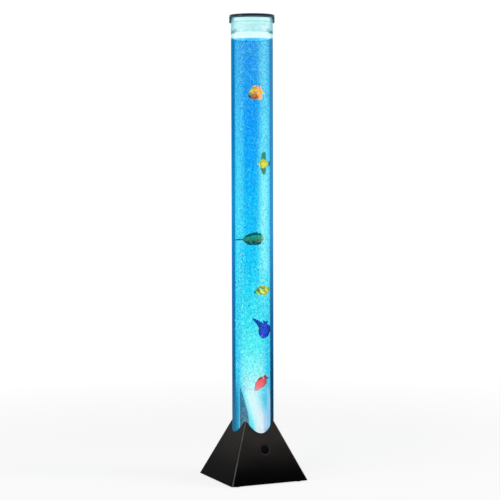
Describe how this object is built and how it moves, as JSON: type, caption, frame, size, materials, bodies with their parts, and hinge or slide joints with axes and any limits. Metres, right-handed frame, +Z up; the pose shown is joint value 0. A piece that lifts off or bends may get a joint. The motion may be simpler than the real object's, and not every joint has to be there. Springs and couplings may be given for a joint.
{
  "type": "bubble tube floor lamp",
  "caption": "Tall clear water tube with drifting toy fish and a lift-off cap, standing in a hollow black pyramid base with push button, lights and air pump.",
  "frame": {"origin": "centre of the base on the floor it stands on", "axes": "+Z up along the tube, -Y towards the front face with the push button, +X to the right seen from the front"},
  "size_m": [0.2, 0.2, 1.112],
  "materials": {
    "base_plastic": "satin black moulded ABS",
    "bezel_plastic": "gloss black",
    "button_plastic": "fine texture black",
    "rubber": "matt black rubber",
    "clear_acrylic": "polished clear acrylic",
    "cap_plastic": "gloss black",
    "diffuser_plastic": "frosted white",
    "fitting_plastic": "moulded nylon",
    "steel": "zinc plated",
    "contact_metal": "plated brass",
    "circuit_board": "white solder mask",
    "led_lens": "clear lens over chip",
    "board_parts": "moulded packages",
    "pump_plastic": "grey moulded plastic",
    "iron": "bare",
    "copper_winding": "enamelled winding",
    "silicone": "translucent silicone",
    "lead_insulation": "soft PVC",
    "orange_fish": "painted soft plastic",
    "angel_fish": "painted soft plastic",
    "green_fish": "painted soft plastic",
    "striped_fish": "painted soft plastic",
    "blue_fish": "painted soft plastic",
    "red_fish": "painted soft plastic"
  },
  "bodies": {
    "root": {"base_housing": "base_plastic", "base_plate": "base_plastic", "button_bezel": "bezel_plastic", "rubber_feet": "rubber", "tube_gasket": "rubber", "inlet_washer": "rubber", "pump_mounts": "rubber", "pump_bellows": "rubber", "acrylic_tube": "clear_acrylic", "tube_floor": "clear_acrylic", "air_diffuser": "diffuser_plastic", "inlet_fitting": "fitting_plastic", "inlet_nut": "fitting_plastic", "check_valve": "fitting_plastic", "button_nut": "fitting_plastic", "jack_nut": "fitting_plastic", "switch_body": "fitting_plastic", "dc_jack": "fitting_plastic", "base_screws": "steel", "led_screws": "steel", "button_spring": "steel", "pump_pivot": "steel", "switch_terminals": "contact_metal", "jack_pin": "contact_metal", "led_board": "circuit_board", "control_board": "circuit_board", "leds": "led_lens", "board_connectors": "board_parts", "board_chips": "board_parts", "pump_case": "pump_plastic", "pump_cover": "pump_plastic", "pump_valve_block": "pump_plastic", "pump_core": "iron", "pump_coil": "copper_winding", "air_hose": "silicone", "pump_lead": "lead_insulation", "led_lead": "lead_insulation", "jack_lead": "lead_insulation", "switch_lead": "lead_insulation"},
    "cap": {"cap_top": "cap_plastic", "cap_skirt": "clear_acrylic", "cap_plug": "clear_acrylic", "cap_seal": "rubber"},
    "button": {"button_cap": "button_plastic"},
    "pump_lever": {"pump_arm": "pump_plastic", "pump_magnet": "iron"},
    "orange_fish_body": {"orange_fish": "orange_fish"},
    "angel_fish_body": {"angel_fish": "angel_fish"},
    "green_fish_body": {"green_fish": "green_fish"},
    "striped_fish_body": {"striped_fish": "striped_fish"},
    "blue_fish_body": {"blue_fish": "blue_fish"},
    "red_fish_body": {"red_fish": "red_fish"}
  },
  "joints": [
    {"name": "cap_lift", "type": "slide", "parent": "root", "child": "cap", "axis": [0, 0, 1], "range_m": [0, 0.06]},
    {"name": "button_press", "type": "slide", "parent": "root", "child": "button", "axis": [0, 0.9154, -0.4026], "range_m": [0, 0.002], "stiffness_N_per_m": 300, "deforming": ["button_spring"]},
    {"name": "pump_lever_swing", "type": "hinge", "parent": "root", "child": "pump_lever", "pos_m": [-0.0635, 0.032, 0.028], "axis": [0, 0, 1], "range_deg": [-1.5, 1.5], "stiffness_Nm_per_rad": 2, "deforming": ["pump_bellows"]},
    {"name": "orange_fish_drift", "type": "slide", "parent": "root", "child": "orange_fish_body", "axis": [0, 0, 1], "range_m": [-0.058, 0.095]},
    {"name": "angel_fish_drift", "type": "slide", "parent": "root", "child": "angel_fish_body", "axis": [0, 0, 1], "range_m": [-0.062, 0.058]},
    {"name": "green_fish_drift", "type": "slide", "parent": "root", "child": "green_fish_body", "axis": [0, 0, 1], "range_m": [-0.04, 0.062]},
    {"name": "striped_fish_drift", "type": "slide", "parent": "root", "child": "striped_fish_body", "axis": [0, 0, 1], "range_m": [-0.028, 0.04]},
    {"name": "blue_fish_drift", "type": "slide", "parent": "root", "child": "blue_fish_body", "axis": [0, 0, 1], "range_m": [-0.036, 0.022]},
    {"name": "red_fish_drift", "type": "slide", "parent": "root", "child": "red_fish_body", "axis": [0, 0, 1], "range_m": [-0.08, 0.036]}
  ]
}
